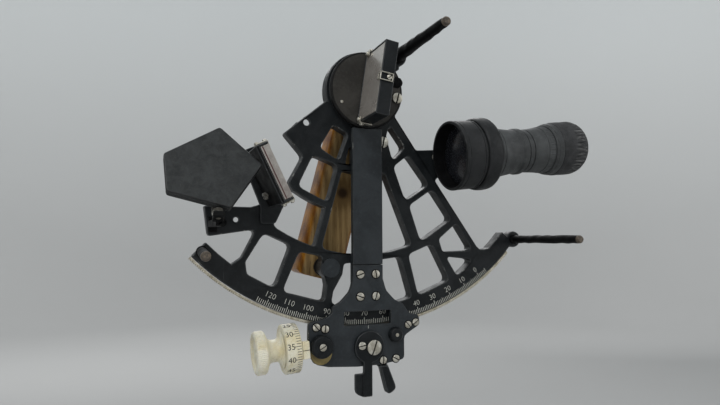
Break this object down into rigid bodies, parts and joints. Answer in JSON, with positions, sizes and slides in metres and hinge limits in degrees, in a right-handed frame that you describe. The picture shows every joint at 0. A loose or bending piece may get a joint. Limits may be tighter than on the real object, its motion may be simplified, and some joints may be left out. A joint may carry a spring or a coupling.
{
  "type": "nautical sextant",
  "caption": "Drum sextant with a swinging index arm, two mirrors, a pentagonal horizon shade, a monocular telescope, an ivory micrometer drum, a wooden grip and three legs.",
  "frame": {"origin": "middle of the wooden grip, where a hand holds the instrument", "axes": "+X from the shades towards the eyepiece, +Y from the limb's face towards the grip, +Z from the limb up to the index pivot"},
  "size_m": [0.29, 0.1236, 0.2416],
  "materials": {
    "black_paint": "satin black paint worn grey at the edges",
    "table_paint": "matt warm grey-black paint",
    "nickel": "dull nickel plate",
    "bronze": "oiled bronze",
    "ivory": "aged ivory plastic",
    "wood": "varnished hardwood, worn on the palm side",
    "lens_glass": "coated lens",
    "mirror_glass": "aged silvered mirror",
    "shade_paint": "mottled charcoal",
    "tan_fibre": "tan fibre washer"
  },
  "bodies": {
    "frame_body": {"frame": "black_paint", "handle_bolt_lower": "nickel", "handle_bolt_upper": "nickel", "handle_grip": "wood", "handle_post_lower": "black_paint", "handle_post_upper": "black_paint", "horizon_adjuster_lower": "nickel", "horizon_adjuster_upper": "nickel", "horizon_base": "black_paint", "horizon_clip_lower": "nickel", "horizon_clip_upper": "nickel", "horizon_mirror_frame": "black_paint", "horizon_mirror_glass": "mirror_glass", "hub_screw": "nickel", "leg_left": "black_paint", "leg_right": "black_paint", "leg_top": "black_paint", "limb_rack": "nickel", "objective_cell": "black_paint", "objective_lens": "lens_glass", "pivot_bush": "bronze", "platform_screw": "nickel", "shade_bracket": "black_paint", "shade_pin": "nickel", "telescope_collar": "black_paint", "telescope_tube": "black_paint"},
    "index_arm_body": {"index_arm": "black_paint", "mirror_table": "table_paint", "pivot_nut": "bronze", "table_screw": "nickel", "index_mirror_frame": "black_paint", "index_mirror_glass": "mirror_glass", "index_clip_top": "nickel", "index_clip_upper": "nickel", "index_clip_lower": "nickel", "index_adjuster": "black_paint", "lower_plate": "black_paint", "cap_washer": "tan_fibre", "cap": "black_paint", "stop_knob": "black_paint", "finger_post": "black_paint", "release_pivot": "nickel", "carrier_bracket": "black_paint", "carrier_pin": "nickel"},
    "release_lever_body": {"release_lever": "black_paint", "release_screw": "nickel"},
    "worm_carrier_body": {"worm_carrier": "black_paint", "drum_index": "ivory"},
    "drum_body": {"worm": "bronze", "drum": "ivory", "drum_grip": "ivory"},
    "shade_body": {"shade_plate_front": "shade_paint", "shade_plate_rear": "shade_paint", "shade_knuckle": "nickel"},
    "focus_ring_body": {"focus_ring": "black_paint"},
    "eye_tube_body": {"eye_tube": "black_paint", "eye_lens": "lens_glass"},
    "clamp_knob_body": {"telescope_clamp_knob": "black_paint"}
  },
  "joints": [
    {"name": "index_arm_swing", "type": "hinge", "parent": "frame_body", "child": "index_arm_body", "pos_m": [0.0118, -0.036, 0.07425], "axis": [0, 1, 0], "range_deg": [-35, 28.2]},
    {"name": "release_lever_squeeze", "type": "hinge", "parent": "index_arm_body", "child": "release_lever_body", "pos_m": [0.0148, -0.044, -0.09995], "axis": [0, -1, 0], "range_deg": [0, 8], "stiffness_Nm_per_rad": 0.3, "springref_deg": -8.59},
    {"name": "worm_carrier_swing", "type": "hinge", "parent": "index_arm_body", "child": "worm_carrier_body", "pos_m": [0.0118, -0.022, -0.09465], "axis": [0.9968, 0, 0.0797], "range_deg": [0, 12]},
    {"name": "drum_spin", "type": "hinge", "parent": "worm_carrier_body", "child": "drum_body", "pos_m": [0.0118, -0.033, -0.09465], "axis": [0.9968, 0, 0.0797], "continuous": true},
    {"name": "shade_swivel", "type": "hinge", "parent": "frame_body", "child": "shade_body", "pos_m": [-0.0919, -0.083, -0.01075], "axis": [0, 0.342, 0.9397], "range_deg": [0, 90]},
    {"name": "focus_ring_turn", "type": "hinge", "parent": "frame_body", "child": "focus_ring_body", "pos_m": [0.0627, -0.064, 0.02795], "axis": [0.9943, 0, 0.1063], "range_deg": [0, 120]},
    {"name": "eye_tube_slide", "type": "slide", "parent": "frame_body", "child": "eye_tube_body", "axis": [0.9943, 0, 0.1063], "range_m": [0, 0.004]},
    {"name": "clamp_knob_turn", "type": "hinge", "parent": "frame_body", "child": "clamp_knob_body", "pos_m": [0.0838, -0.022, 0.03025], "axis": [0, 1, 0], "continuous": true}
  ],
  "couplings": [
    {"joint": "worm_carrier_swing", "follows": "release_lever_squeeze", "ratio": 1.5},
    {"joint": "focus_ring_turn", "follows": "eye_tube_slide", "rad_per_m": 523.6}
  ]
}
